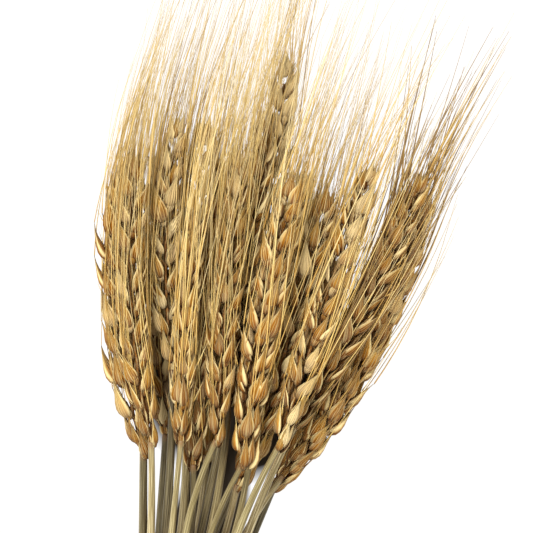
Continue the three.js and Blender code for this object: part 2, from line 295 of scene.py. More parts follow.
def add_piece(name, parts, materials, node):
    """One mesh from parts in mm from the tie. What would lie below the table is pressed up onto it: a
    height z becomes (z + sqrt(z^2 + 4 gap^2)) / 2."""
    starts = np.cumsum([0] + [len(part["points"]) for part in parts])
    points = np.vstack([part["points"] for part in parts]) + TIE_MIDDLE
    points[:, 2] = (points[:, 2] + np.sqrt(points[:, 2] ** 2 + 4 * TABLE_GAP**2)) / 2
    loops, sizes, slots = [], [], []
    for start, part in zip(starts, parts):
        for faces in (part["walls"] + start, part["ends"] + start):
            loops.append(faces.ravel())
            sizes.append(np.full(len(faces), faces.shape[1]))
            slots.append(np.full(len(faces), part["slot"]))
    loops, sizes, slots = (np.concatenate(x).astype(np.int32) for x in (loops, sizes, slots))
    mesh = bpy.data.meshes.new(name)
    mesh.vertices.add(len(points))
    mesh.vertices.foreach_set("co", (points * MM).astype(np.float32).ravel())
    mesh.loops.add(len(loops))
    mesh.loops.foreach_set("vertex_index", loops)
    mesh.polygons.add(len(sizes))
    mesh.polygons.foreach_set("loop_start", (np.cumsum(sizes) - sizes).astype(np.int32))
    mesh.polygons.foreach_set("material_index", slots)
    mesh.update(calc_edges=True)
    for key, kind, field in (("place", "FLOAT_VECTOR", "vector"), ("tone", "FLOAT", "value")):
        values = np.concatenate([part[key].ravel() for part in parts])
        mesh.attributes.new(key, kind, "POINT").data.foreach_set(field, values.astype(np.float32))
    mesh.shade_smooth()
    for material in materials:
        mesh.materials.append(material)
    piece = new_object(name, mesh)
    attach(piece, "root")
    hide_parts(node)
    return piece


# %% [markdown]
# ## A scale
# What looks like a grain on an ear is the husk round it: a lemma, plump as a boat, whose back narrows into a
# beak and then into the awn. At either side of each spikelet a shorter, blunter scale, the glume, holds it,
# and the palea closes the husk inside and shows as a thin white sliver. Sculpting would give one fine husk,
# but a formula gives all three, with few faces: a closed tube whose girth swells and shrinks along its length
# v. Its back is half an ellipse, deeper at the heel than at the tip, and a keel raises it on a glume. Its
# belly bulges less than that on a lemma, and is hollow on the thin scales.

# %% The form of a scale
SCALE_RINGS = np.array([0.015, 0.07, 0.17, 0.3, 0.45, 0.6, 0.76, 0.92])  # v, from heel to tip
SCALE_AROUND = 8
ROUNDNESS, KEEL_SHARPNESS = 0.85, 6  # powers: the lower the first, the blunter both ends
BEAK_SETS_IN = (0.3, 0.8)  # v, over which the beak draws in
PLUMP_HEEL, FLAT_TIP = 1.25, 0.55  # times the depth in the table of scales
# how low each is widest (a power of v), the share by which its beak draws in, its belly's height as a share
# of its back's (below 0 it bulges, above 0 it is hollow), and the share by which a keel raises the back
KINDS = {"lemma": (0.58, 0.45, -0.5, 0.04), "glume": (0.66, 0.4, 0.35, 0.2), "palea": (0.9, 0.2, 0.5, 0.0)}
DROP = (0.56, 0.68)  # the first two, for the lemma of a drop-shaped husk
DROPS_FROM = 1.02  # the size of grains above which they are
lap = ring_angles(SCALE_AROUND)


def scale_form(widest, beak, belly, keel):
    """Offsets of a scale's points from its middle line, for a width and depth of 1: to the side, to the
    back, and v. The girth is sin(pi v^widest)^0.85, less a share beak of it that sets in from v 0.3 to 0.8.
    At angle a of a ring the side is cos a, the back sin a + keel sin^6 a, and the belly belly |sin a|."""
    v = SCALE_RINGS[:, None]
    girth = np.sin(math.pi * v**widest) ** ROUNDNESS * (1 - beak * ease(v, *BEAK_SETS_IN))
    back = np.sin(lap)
    depth = np.where(back > 0, back + keel * back**KEEL_SHARPNESS, -belly * back)
    depth = depth * mix(PLUMP_HEEL, FLAT_TIP, v)
    rings = np.stack([np.cos(lap) * girth, depth * girth, v + 0 * lap], -1)
    return np.vstack([[0, 0, 0], rings.reshape(-1, 3), [0, 0, 1]])


FORMS = {}
for kind, (widest, beak, belly, keel) in KINDS.items():
    plain = scale_form(widest, beak, belly, keel)
    FORMS[kind] = {False: plain, True: scale_form(*DROP, belly, keel) if kind == "lemma" else plain}
TO_SIDE = np.concatenate([[0], np.tile(np.cos(lap), len(SCALE_RINGS)), [0]])  # of each point, -1 to 1
print("faces of a scale:", sum(map(len, tube_faces(len(SCALE_RINGS), SCALE_AROUND))))

# %% Many copies of a form
PATTERNS = 50  # how far apart in a pattern tubes may lie


def carried(form, base, start, end, back, length, width, depth):
    """Copies of a form along a middle line base + length (start v + (end - start) v^2 / 2), which leaves
    in direction start and ends in direction end. The side is back x start, and the back is made square."""
    side = unit(np.cross(back, start))
    back = np.cross(start, side)
    v = form[:, 2:]
    middle = base[:, None] + length[:, None, None] * (start[:, None] * v + (end - start)[:, None] * v**2 / 2)
    x, y = form[:, 0:1] * width[:, None, None] / 2, form[:, 1:2] * depth[:, None, None]
    return middle + side[:, None] * x + back[:, None] * y


def own_place(side, v, count, rng):
    """Each point's place on count tubes: its side, its v, and a random number for the whole tube, so that no
    two show the same part of a pattern."""
    own = rng.uniform(0, PATTERNS, count)[:, None]
    return np.stack(np.broadcast_arrays(side, v, own), -1)


# %% [markdown]
# ## A spikelet, and an ear of them
# A wheat ear has one spikelet at each joint of its stalk, left and right by turns: a small fan with a glume
# at either side, a husked grain inside each, one more raised between them, and often a small one on top.
# Finished spikelets could be copied along the ear, but the eye soon finds copies. So a table lists the scales
# in the spikelet's own directions, to its side, outwards, and along the ear, and each is made anew with a
# little chance in its place, lean, size and tone.

# %% The scales of a spikelet
# kind, side, base (side, out, along) in mm, lean at the base and at the tip (side, out) in degrees, length,
# width and depth in mm, the share of spikelets that have it, and the share of those with an awn
SPIKELET = [
    ("glume", -1, (1.3, 0.6, -0.4), (14, 17), (11, 13), 10.4, 4.2, 1.6, 1, 0.9),
    ("glume", 1, (1.3, 0.6, 0.2), (14, 17), (11, 13), 10.4, 4.2, 1.6, 1, 0.9),
    ("lemma", -1, (1.6, 1.3, 1.3), (17, 25), (4, 9), 12.8, 5.1, 2.2, 1, 0.95),
    ("lemma", 1, (1.6, 1.3, 2.4), (17, 25), (4, 9), 12.8, 5.1, 2.2, 1, 0.95),
    ("lemma", 0.2, (0.5, 2.4, 3.8), (5, 26), (1, 9), 11.6, 4.7, 2.0, 1, 0.9),
    ("lemma", -0.2, (0.8, 2.1, 5.4), (-6, 22), (0, 8), 10.4, 3.8, 1.7, 1, 0.55),
    ("lemma", 0.1, (0.2, 2.4, 7.0), (1, 18), (0, 6), 8.6, 3.1, 1.4, 0.7, 0.25),
    ("palea", 0.7, (1.5, 2.5, 4.2), (8, 20), (26, 6), 8.0, 1.4, 0.5, 0.3, 0),
    ("palea", -0.7, (1.5, 2.5, 3.2), (8, 20), (26, 6), 8.0, 1.4, 0.5, 0.3, 0),
]
INTERNODE = 4.85  # mm between joints of the ear's stalk, with grains of size 1
LOWEST, FILLED = -0.025, 0.94  # where the lowest and the highest spikelets sit, in ear's lengths
RACHIS_ASIDE = 0.35  # mm, how far the joints stand out
print(len(SPIKELET), "scales in a full spikelet")

# %% How spikelets differ along an ear and from ear to ear
FOOT_SIZE = (0.8, 0.78, 0.74, 0.7)  # of the lowest spikelets, by row, as a share of the full size
OUTER_FOOT, OUTER_FROM = 0.82, (16, 24)  # times that on outer ears, whose feet lie that many mm out
TIP_SIZE = 0.8  # of the highest spikelets
GROWS_OVER, SHRINKS_OVER = (-0.04, 0.18), (0.72, 1)  # t, the way up the ear
UPRIGHT_FOOT, LEAST_LEAN = 0.38, 0.15  # the lowest lean out by their size less the first, at least the second
TIP_LEAN, TOP_LEAN = 0.75, 0.35  # times the lean, on the highest spikelets and on the very top one
OPENS_OVER, CLOSES_OVER = (0, 0.18), (0.6, 1)  # t
FOOT_BROADER, FOOT_LONGER, SLIM_UNTIL = 1.1, 1.35, 0.2  # scales at the foot, and t up to where
GRAINS, PLUMPNESS = (0.9, 1.1), (0.62, 1.0)  # sizes of grains, and times the depth that their husks then have
HEADING_NOISE, BASE_NOISE, LEAN_NOISE, SIZE_NOISE = 0.14, 0.18, 6.5, 0.12  # radians, mm, degrees, a share
LEAST_SIDE = 0.4  # how much a lean to the side counts at least
BACK_TO_SIDE, BACK_NOISE, BACK_OUT = 0.85, 0.25, 0.55  # how a back faces its side, by chance, and outwards
SCALE_TONE, TONE_NOISE, PALEA_PALER = 0.5, 0.22, 0.5
TONE_RISE, TONE_MIDDLE = 0.25, 0.45  # paler to the ear's tip, and t where it is neither


def fullness(t, foot):
    """Size of a spikelet, t of the way up: foot at the foot, full from a fifth on, 0.8 at the tip."""
    return mix(foot, 1, ease(t, *GROWS_OVER)) * mix(1, TIP_SIZE, ease(t, *SHRINKS_OVER))


def openness(t, foot):
    """How far a spikelet leans out, t of the way up, as a share of the table's lean: less at the foot and
    at the tip, and least at the very top, where one spikelet sits crosswise."""
    share = mix(max(foot - UPRIGHT_FOOT, LEAST_LEAN), 1, ease(t, *OPENS_OVER))
    share *= mix(1, TIP_LEAN, ease(t, *CLOSES_OVER))
    share[-1] = TOP_LEAN
    return share


print("size halfway up", fullness(0.5, FOOT_SIZE[0]))


# %% Directions on an ear
def leaning(side, out):
    """A direction that leans side degrees sideways and out degrees outwards from the ear's: the tangents
    of both, and 1 along the ear."""
    return unit(np.stack([np.tan(np.radians(side)), np.tan(np.radians(out)), np.ones(len(side))], 1))


def seen(out, across, turn):
    """(out, across) of an ear's axis as (right, up), and the other way round: out cos a - across sin a, and
    - out sin a - across cos a, where a is the ear's turn."""
    c, s = math.cos(math.radians(turn)), math.sin(math.radians(turn))
    return out * c - across * s, -out * s - across * c


print("out is right and up by", np.round(seen(1, 0, ROWS[0][0][5]), 2))

# %% [markdown]
# ## Awns
# An awn is the bristle in which a husk's back ends: three-sided, 6 to 10 cm long, and stiff. Hair curves
# would draw it faster, but have no faces to hand on, so an awn is a thin tube of three sides. It leaves in
# the direction of its husk and soon turns to its own. Dried and tied, awns lie nearly parallel, as if combed,
# and on the right they fan out.

# %% How long, thick and pale awns are
# A pair holds the value for ears on the left and in the middle, and for those on the right, which fan out.
FANNED_FROM = (15, 40)  # mm from the middle, tips of ears between which the one passes to the other
AWN_LENGTH, AWN_LONGER = (100, 70), (1, 0.85)  # mm from the lowest and the highest spikelet; times a pair
AWN_VARIES, AWN_LIMITS = (0.84, 0.2), (0.4, 1.1)  # times that: mean and spread, least and most
TOOTH = 0.09  # times that on a glume, whose awn is only a tooth
AWN_RADIUS = (0.2, 0.035)  # mm at its root, and near its end
AWN_THICKNESS, AWN_STRENGTH = (0.7, 1.3), (0.95, 1.5)  # times that, the least and the most; times a pair
AWN_TONE, AWN_TONE_NOISE = (0.5, 0.2), 0.25  # how pale they are, a pair
AWN_SUNK = 0.4  # mm that its root lies in its husk
AWN_RINGS, AWN_AROUND = 9, 3
CROWDED, LAST_RING, ROOT_V = 1.2, 0.99, -0.012  # a power that crowds rings to the root, and v of both ends


def awn_form():
    """Offsets of an awn's points from its middle line: rings whose radius narrows evenly with v."""
    v = np.linspace(0, 1, AWN_RINGS)[:, None] ** CROWDED * LAST_RING
    lap, radius = ring_angles(AWN_AROUND), mix(*AWN_RADIUS, v)
    rings = np.stack([np.cos(lap) * radius, np.sin(lap) * radius, v + 0 * lap], -1)
    return np.vstack([[0, 0, ROOT_V], rings.reshape(-1, 3), [0, 0, 1]])


AWN_FORM = awn_form()
print("points of an awn:", len(AWN_FORM))

# %% Where awns point
AWN_SPREAD, SPREAD_FROM = (3, 6), (-55, -5)  # degrees to either side, on ears with tips that many mm out
AWN_FANNED = 1.5  # times that on ears on the right
AWN_GATHER = (1.1, -0.6)  # degrees back to the axis for every mm that the root lies off it, a pair
MOST_LEAN = (11, 22)  # degrees to either side at most, a pair
AWN_LIFT, AWN_LIFT_SPREAD = (2, 3, 5, 10), 2.6  # degrees up, by row
BEHIND, LIFT_BEHIND = -1, -0.5  # mm above the axis, and times the lift for lower roots
LEFT_EDGE, RIGHT_EDGE, TOP_EDGE = -71, 70, 63  # mm from the middle and the table, where awns end
AWN_REACH = 78  # mm past the tip, where the edges are measured
STRAY_SHARE, STRAY = 0.07, 2  # of the awns stand off the others, by so many times their spread more
STRAYS_FROM, STRAYS_UP_TO = -40, 20  # mm from the middle: only on ears with their tips there
SNAP = 0.7  # the share of its turn that an awn makes at its root


def awn_aim(line, tip_x, row):
    """What an ear's awns share. A limit is the angle to an edge: the way to it over the reach."""
    fanned = ease(tip_x, *FANNED_FROM)
    end_x, _, end_z = at_run(line, "line", [line["length"] + AWN_REACH])[0]
    return {
        "fanned": fanned,
        "spread": mix(*AWN_SPREAD, ease(tip_x, *SPREAD_FROM)) * mix(1, AWN_FANNED, fanned),
        "gather": mix(*AWN_GATHER, fanned),
        "most": mix(*MOST_LEAN, fanned),
        "limits": [math.degrees((edge - end_x) / AWN_REACH) for edge in (LEFT_EDGE, RIGHT_EDGE)],
        "lift": AWN_LIFT[row],
        "highest": math.degrees((TOP_EDGE - end_z) / AWN_REACH),
        "straying": STRAYS_FROM < tip_x < STRAYS_UP_TO,
    }


def awn_ends(root, turn, aim, rng):
    """Directions that awns turn to: right by chance times the spread, less the gather times how far right the
    root lies, and up by the lift and chance. What leans past a limit is mirrored."""
    count = len(root)
    right, up = seen(*root[:, :2].T, turn)
    stray = rng.uniform(0, 1, count) < STRAY_SHARE
    spread = aim["spread"] * (1 + STRAY * aim["straying"] * stray)
    lean = spread * rng.normal(0, 1, count) - aim["gather"] * right
    lean = np.clip(lean, -aim["most"], aim["most"])
    for sign, limit in zip((-1, 1), aim["limits"]):
        lean -= 2 * sign * np.maximum(sign * (lean - limit), 0)
    lift = aim["lift"] * np.where(up > BEHIND, 1, LIFT_BEHIND) + AWN_LIFT_SPREAD * rng.normal(0, 1, count)
    lift = np.minimum(lift, 2 * aim["highest"] - lift)
    out, across = seen(np.tan(np.radians(lean)), np.tan(np.radians(lift)), turn)
    return unit(np.stack([out, across, 1 + 0 * out], 1))


print("the first ear's awns spread by", awn_aim(LINES[0][0], ROWS[0][0][2], 0)["spread"], "degrees")


# %% Awns of one kind of scale
def awns(root, start, t, turn, size, aim, rng):
    """Awns as thin tubes. Each leaves 0.7 of the way from start, its husk's direction, to its own, and ends
    in its own. A tooth goes straight on."""
    count = len(root)
    length = size * mix(*AWN_LONGER, aim["fanned"]) * mix(*AWN_LENGTH, t)
    length = length * np.clip(rng.normal(*AWN_VARIES, count), *AWN_LIMITS)
    end = awn_ends(root, turn, aim, rng)
    if size < 1:
        end = start
    back = np.broadcast_to([0.0, 1, 0], (count, 3))
    thick = rng.uniform(*AWN_THICKNESS, count) * mix(*AWN_STRENGTH, aim["fanned"])
    leaves = unit(mix(start, end, SNAP))
    points = carried(AWN_FORM, root, leaves, end, back, length, 2 * thick, thick)
    place = own_place(0, AWN_FORM[:, 2], count, rng)
    tone = np.clip(rng.normal(mix(*AWN_TONE, aim["fanned"]), AWN_TONE_NOISE, count), 0, 1)
    made = tubes(points, place, tone, AWN_RINGS, AWN_AROUND, slot=1)
    made["roots"] = np.repeat(root[:, 2], len(AWN_FORM))
    return made


# %% All scales of an ear
def ear_scales(length, turn, pale, grain, foot, aim, rng):
    """All scales and awns of a straight ear. The spikelets stand at even steps t up it and head to either rank
    by turns, and the top one crosswise. A scale's base, length, width and depth are the table's times the
    spikelet's size, and its lean outwards is the table's times openness."""
    count = round(length * FILLED / INTERNODE / grain)
    t = np.linspace(LOWEST, FILLED, count)
    heading = math.pi * (np.arange(count) % 2) + rng.normal(0, HEADING_NOISE, count)
    heading[-1] += math.pi / 2
    c, s = np.cos(heading)[:, None], np.sin(heading)[:, None]
    opened = openness(t, foot)
    full = grain * fullness(t, foot)
    slim = ease(t, 0, SLIM_UNTIL)
    joint = np.stack([0 * t, 0 * t + RACHIS_ASIDE, t * length], 1)
    parts = []

    def turned(points):
        """From a spikelet's (side, out, along) to the ear's (out, across, along), by its heading."""
        side, out = points[..., 0], points[..., 1]
        return np.stack([out * c + side * s, out * s - side * c, points[..., 2]], -1)

    for kind, side, base, lean, tip_lean, size, width, depth, share, awned in SPIKELET:
        chance = rng.normal(0, 1, (8, count))
        some = rng.uniform(0, 1, count) < share
        base = joint + np.array(base) * [np.sign(side), 1, 1] * full[:, None]
        base = base + rng.normal(0, BASE_NOISE, (count, 3))
        way = math.copysign(max(abs(side), LEAST_SIDE), side)
        start, end = (
            leaning(way * aside + LEAN_NOISE * by_side, (out + LEAN_NOISE * by_out) * opened)
            for (aside, out), by_side, by_out in ((lean, *chance[:2]), (tip_lean, *chance[2:4]))
        )
        outwards = BACK_OUT if abs(side) == 1 else 1
        back = np.stack([BACK_TO_SIDE * side + BACK_NOISE * chance[6], 0 * t + outwards, 0 * t], 1)
        scale = full * (1 + SIZE_NOISE * chance[4])
        broad = scale * (1 + SIZE_NOISE * chance[7]) * mix(FOOT_BROADER, 1, slim)
        long = size * scale * mix(FOOT_LONGER, 1, slim)
        deep = depth * broad * mix(*PLUMPNESS, ease(grain, *GRAINS))
        form = FORMS[kind][grain > DROPS_FROM]
        points = carried(form, base, start, end, back, long, width * broad, deep)
        place = own_place(TO_SIDE, form[:, 2], count, rng)
        tone = SCALE_TONE + pale + TONE_NOISE * chance[5] + TONE_RISE * (t - TONE_MIDDLE)
        tone = np.clip(tone + (PALEA_PALER if kind == "palea" else 0), 0, 1)
        parts.append(tubes(turned(points)[some], place[some], tone[some], len(SCALE_RINGS), SCALE_AROUND))
        some &= rng.uniform(0, 1, count) < awned
        if some.any():
            roots, ways = turned(np.stack([points[:, -1] - AWN_SUNK * end, end], 1))[some].transpose(1, 0, 2)
            parts.append(awns(roots, ways, t[some], turn, TOOTH if kind == "glume" else 1, aim, rng))
    return parts


# %% [markdown]
# ## The ear's stalk
# The spikelets sit on a flat stalk, the rachis, that steps left and right from joint to joint and shows at
# the ear's foot. It is one tube along the ear, because a chain of separate joints would show seams.

# %% The rachis
RACHIS_HALF = (0.95, 0.7)  # mm, half its width and half its thickness at the foot
RACHIS_TIP = 0.4  # times that at the ear's tip
RACHIS_SWELL, JOINT_SHARPNESS = 0.2, 4  # how much thicker a joint is, and a power
RACHIS_SWING, RACHIS_FOOT = 0.25, 2  # mm to either side, and below the ear's foot
RACHIS_LIKE, RACHIS_TONE = 0.3, 0.45  # coloured like a scale that far up, and its tone
RACHIS_AROUND, RINGS_A_JOINT = 8, 4


def rachis(length):
    """A tube along the ear: half width and half thickness shrink to 0.4 of themselves at the tip, swell by
    a fifth at every joint, and the middle swings by a cosine from joint to joint."""
    at = np.arange(-RACHIS_FOOT, length * FILLED, INTERNODE / RINGS_A_JOINT)
    joint = np.cos(at / INTERNODE * math.pi)
    size = mix(1, RACHIS_TIP, at / length) * (1 + RACHIS_SWELL * np.abs(joint) ** JOINT_SHARPNESS)
    lap = ring_angles(RACHIS_AROUND)
    out = np.outer(RACHIS_HALF[1] * size, np.cos(lap)) + (RACHIS_SWING * joint)[:, None]
    across = np.outer(RACHIS_HALF[0] * size, np.sin(lap))
    rings = np.stack([out, across, np.broadcast_to(at[:, None], out.shape)], -1).reshape(-1, 3)
    points = np.vstack([[0, 0, at[0] - 0.5], rings, [0, 0, at[-1] + 1]])
    place = np.stack([points[:, 1] / RACHIS_HALF[0], RACHIS_LIKE + 0 * points[:, 0], points[:, 2]], 1)
    return tubes(points[None], place[None], np.array([RACHIS_TONE]), len(at), RACHIS_AROUND)


print("points of a rachis:", len(rachis(LINES[0][0]["length"])["points"]))

# %% [markdown]
# ## Finishes
# Every finish is a small tree of nodes that ends in the Principled shader. Images would need each husk to be
# unwrapped, but nodes that read a point's place on its own tube follow it however it bends. Light gets lost
# between husks and between stems, so a painted shade also deepens the colour to a warm brown in crevices.


# %% Colour and node helpers
def linear(code):
    """An sRGB hex colour as linear numbers: ((c + 0.055) / 1.055)^2.4 for all but the darkest."""
    srgb = np.array([int(code[k : k + 2], 16) / 255 for k in (1, 3, 5)])
    return (*np.where(srgb < 0.04045, srgb / 12.92, ((srgb + 0.055) / 1.055) ** 2.4), 1.0)


def add_node(tree, kind, inputs=None, stops=None, **settings):
    """Adds one node and returns its outputs. An input is a value, or an output to link; stops are a ramp's.
    Numbered inputs: of Mapping 0 is the vector, 1 the location and 3 the scale; of MapRange 0 is the value,
    1 and 2 are its range, and 3 and 4 the range it gets; of Mix 0 is the share, and 6 and 7 are colours."""
    made = tree.nodes.new("ShaderNode" + kind)
    for key, value in settings.items():
        setattr(made, key, value)
    for key, value in (inputs or {}).items():
        if isinstance(value, bpy.types.NodeSocket):
            tree.links.new(value, made.inputs[key])
        else:
            made.inputs[key].default_value = value
    for k, (at, code) in enumerate(stops or []):
        elements = made.color_ramp.elements
        if k == 0:
            elements.remove(elements[1])
        stop = elements.new(at) if k else elements[0]
        stop.position, stop.color = at, linear(code)
    return made.outputs


MIXED = {"data_type": "RGBA"}  # settings of a Mix node that lays one colour over another
TIMES = {"data_type": "RGBA", "blend_type": "MULTIPLY"}  # and of one that multiplies them
print("middle grey:", np.round(linear("#808080"), 3))

# %% Materials that read a tube
# painted shade: a warm brown that colours are multiplied with in crevices, where little light gets in
CREVICE_SHADE = "#8a4a08"  # what colours are multiplied with where no light gets in
NO_SKY = 0.1  # the share of open sky at which a crevice is darkest


def new_material(name, roughness, specular=0.5):
    """A material with its own Principled shader: returns it, its node tree and the shader."""
    material = bpy.data.materials.new(name)
    material.use_nodes = True
    shader = material.node_tree.nodes["Principled BSDF"]
    shader.inputs["Roughness"].default_value = roughness
    shader.inputs["Specular IOR Level"].default_value = specular
    return material, material.node_tree, shader


def reads(tree):
    """A point's place on its own tube, as a vector and as three numbers, and the tube's tone."""
    place = add_node(tree, "Attribute", attribute_name="place")["Vector"]
    numbers = add_node(tree, "SeparateXYZ", {0: place})
    return place, numbers, add_node(tree, "Attribute", attribute_name="tone")["Fac"]


def shaded(tree, colour, depth, share, open_sky=0.7):
    """The colour with painted shade: multiplied with the shade colour by a share that rises evenly from 0,
    where open_sky of the sky within depth mm is free, to share, where hardly any is."""
    sky = add_node(tree, "AmbientOcclusion", {"Distance": depth * MM}, samples=4)
    deep = add_node(tree, "MapRange", {0: sky["AO"], 1: NO_SKY, 2: open_sky, 3: share, 4: 0.0})
    return add_node(tree, "Mix", {0: deep[0], 6: colour, 7: linear(CREVICE_SHADE)}, **TIMES)[2]


# %% [markdown]
# ## Dry chaff
# Chaff is the dry skin of a husk, stiff fibres that ripened and bleached on the stalk. To the eye it is matt
# with a faint silky sheen, golden ochre on its belly and paler to its tip. Its brown heel is partly its own
# colour and partly painted shade, where it lies under the scale below. Fibres streak it and nerves run along
# it, its thin edges and keel are pale, partly their own colour and partly a painted highlight, and a painted
# greyish sheen lies on it in patches.

# %% Dry chaff
HUSK = (2.5, 11.5)  # mm, half a husk's width and its length: what place gives as 1
STREAK, STREAKS_APART = (0.3125, 8), 1.6  # mm wide and long, and how far a tube's own number moves it there
NERVE_PITCH = 0.873  # mm, coarser than the real 0.5, which would not show
SHEEN_PATCHES = 1.3  # to half a husk's width and to its length: grey patches 1.9 mm wide and 9 mm long
RELIEF = 0.2  # mm


def dry_chaff():
    """The colour from heel to tip, with a dark heel that is partly painted shade, times streaks, times
    the scale's tone. Laid over it: the palest scales bleached, a painted greyish sheen in patches, nerves
    lightened, and the keel and the edges pale, partly thin margins and partly painted highlight. Then painted
    shade in crevices. Nerves, a sine of the side, and streaks raise the surface."""
    material, tree, shader = new_material("dry chaff", roughness=0.65, specular=0.12)
    place, (side, up, _), tone = reads(tree)
    # dark heel: partly the husk's own brown, partly painted shade where it lies under the scale below
    length = add_node(tree, "ValToRGB", {0: up}, stops=[
        (0.0, "#5c3206"), (0.14, "#8e5c12"), (0.34, "#b08530"), (0.65, "#c6a658"), (1.0, "#dccb9a"),
    ])
    drawn_out = (HUSK[0] / STREAK[0], HUSK[1] / STREAK[1], STREAKS_APART)
    stretched = add_node(tree, "Mapping", {0: place, 3: drawn_out})
    streaks = add_node(tree, "TexNoise", {0: stretched[0], "Scale": 1.0, "Detail": 3.0})
    streak_tone = add_node(tree, "ValToRGB", {0: streaks[0]}, stops=[(0.32, "#a67f48"), (0.6, "#ffffff")])
    colour = add_node(tree, "Mix", {0: 0.75, 6: length[0], 7: streak_tone[0]}, **TIMES)
    own_tone = add_node(tree, "ValToRGB", {0: tone}, stops=[
        (0.0, "#a87430"), (0.35, "#d2ac68"), (0.65, "#ecd69e"), (1.0, "#fff2c8"),
    ])
    colour = add_node(tree, "Mix", {0: 0.8, 6: colour[2], 7: own_tone[0]}, **TIMES)
    bleached = add_node(tree, "MapRange", {0: tone, 1: 0.75, 2: 1.0, 3: 0.0, 4: 0.72})
    # painted greyish sheen, laid over the colour in patches
    patches = add_node(tree, "TexNoise", {0: place, "Scale": SHEEN_PATCHES, "Detail": 2.0})
    painted_sheen = add_node(tree, "MapRange", {0: patches[0], 1: 0.47, 2: 0.66, 3: 0.0, 4: 0.6})
    nerve_turns = 2 * math.pi * HUSK[0] / NERVE_PITCH
    nerve_way = add_node(tree, "Math", {0: side, 1: nerve_turns}, operation="MULTIPLY")
    nerves = add_node(tree, "Math", {0: nerve_way[0]}, operation="SINE")
    on_nerves = add_node(tree, "MapRange", {0: nerves[0], 1: 0.3, 2: 1.0, 3: 0.0, 4: 0.32})
    aside = add_node(tree, "Math", {0: side}, operation="ABSOLUTE")
    # pale keel line and edges: partly the thin margins' own colour, partly painted highlight where they catch
    # light
    papery_and_highlit = add_node(tree, "ValToRGB", {0: aside[0]}, stops=[
        (0.0, "#c8c8c8"), (0.1, "#000000"), (0.78, "#000000"), (0.9, "#f0f0f0"), (1.0, "#f0f0f0"),
    ])
    layers = ((bleached, "#ecd8a4"), (painted_sheen, "#97805f"), (on_nerves, "#d8bf82"), (papery_and_highlit, "#e0cb92"))
    for share, code in layers:
        colour = add_node(tree, "Mix", {0: share[0], 6: colour[2], 7: linear(code)}, **MIXED)
    # painted shade: browner deep between husks
    tree.links.new(shaded(tree, colour[2], 4.5, 0.9), shader.inputs["Base Color"])
    relief = add_node(tree, "Math", {0: nerves[0], 1: streaks[0]}, operation="ADD")
    bump = add_node(tree, "Bump", {"Strength": 0.8, "Distance": RELIEF * MM, "Height": relief[0]})
    tree.links.new(bump[0], shader.inputs["Normal"])
    return material


CHAFF = dry_chaff()
print(CHAFF.name, "has", len(CHAFF.node_tree.nodes), "nodes")

# %% [markdown]
# ## Blond awn
# An awn is a smooth dry bristle of the husk's own fibre. It glints more than chaff, is golden at its root and
# blond above, and a few are brown. It is too thin for a pattern to show, so only its colour changes.


# %% Blond awn
def blond_awn():
    """The colour up the awn, times the awn's own tone."""
    material, tree, shader = new_material("blond awn", roughness=0.45, specular=0.3)
    _, (_, up, _), tone = reads(tree)
    length = add_node(tree, "ValToRGB", {0: up}, stops=[
        (0.0, "#c8a45c"), (0.25, "#dfc682"), (0.6, "#e0cd9a"), (1.0, "#cebb90"),
    ])
    own_tone = add_node(tree, "ValToRGB", {0: tone}, stops=[
        (0.0, "#7c5a36"), (0.2, "#d2bb8c"), (0.5, "#faf2dc"), (1.0, "#ffffff"),
    ])
    colour = add_node(tree, "Mix", {0: 0.8, 6: length[0], 7: own_tone[0]}, **TIMES)
    # painted shade: browner where awns lie deep among husks
    tree.links.new(shaded(tree, colour[2], 4, 0.35), shader.inputs["Base Color"])
    return material


AWN = blond_awn()
print(AWN.name, "has", len(AWN.node_tree.nodes), "nodes")

# %% Build the ears
SEED = 7
AWN_STIFFNESS = 0.2  # of the awns on ears that bow to the right, which stand off them
rng = np.random.default_rng(SEED)
number = 0
for row, ears in enumerate(LINES):
    for line, (foot_x, _, tip_x, _, bow, turn, _, _, pale, grain) in zip(ears, ROWS[row]):
        number += 1
        foot = FOOT_SIZE[row] * mix(1, OUTER_FOOT, ease(abs(foot_x), *OUTER_FROM))
        aim = awn_aim(line, tip_x, row)
        parts = [rachis(line["length"]), *ear_scales(line["length"], turn, pale, grain, foot, aim, rng)]
        for part in parts:
            stiff = AWN_STIFFNESS if bow > 0 and "roots" in part else 0
            part["points"] = bend(line, part["points"], part.get("roots"), stiff)
        name = f"ear_{number:02d}"
        piece = add_piece(f"wheat_{name}", parts, [CHAFF, AWN], name)
print("an ear has", len(piece.data.polygons), "faces")

# %% [markdown]
# ## Straws
# A wheat straw is a hollow tube, a little thicker low down, with a joint, and swells to a collar under its
# ear. All were cut off together, so their hollow ends show. A curve with a round bevel would be solid and
# even. Here each is a tube carried along its line, with a radius worked out from the way along it.

# %% The line of a straw
STRAW_PITCH = 3.5  # mm from straw to straw in the tie
OPENING = 0.12  # the share of its way to the ear, over which a straw turns straight
FLARE = 1.7  # how much further apart the cut ends lie than in the tie
FULL_SWING = 27 / 4  # makes s^2 (1 - s) 1 at its highest
ABOVE, BELOW, BELOW_FROM = 40, 24, -2  # samples above the tie and below it, and mm from the tie


def straw_line(ear, row, place, cut_end, swing):
    """From the cut end through the place in the tie to the ear's foot. Over the way s, 0 at the tie and 1 at
    the foot, x goes from place to foot as sqrt(s^2 + o^2) - o, which soon runs straight, and swings aside by
    27/4 s^2 (1 - s) times the swing. Below the tie x grows to 1.7 times place."""
    foot = bend(ear, np.zeros((1, 3)))[0]
    s = np.linspace(0, 1, ABOVE)
    opening = (np.hypot(s, OPENING) - OPENING) / (math.hypot(1, OPENING) - OPENING)
    above = mix(place, foot[0], opening) + FULL_SWING * s * s * (1 - s) * swing
    y = np.linspace(cut_end, BELOW_FROM, BELOW)
    below = place * mix(1, FLARE, ease(y, 0, CUT_END))
    y = np.append(y, s * foot[1])
    return np.stack([np.append(below, above), y, row_height(row, y)], 1)


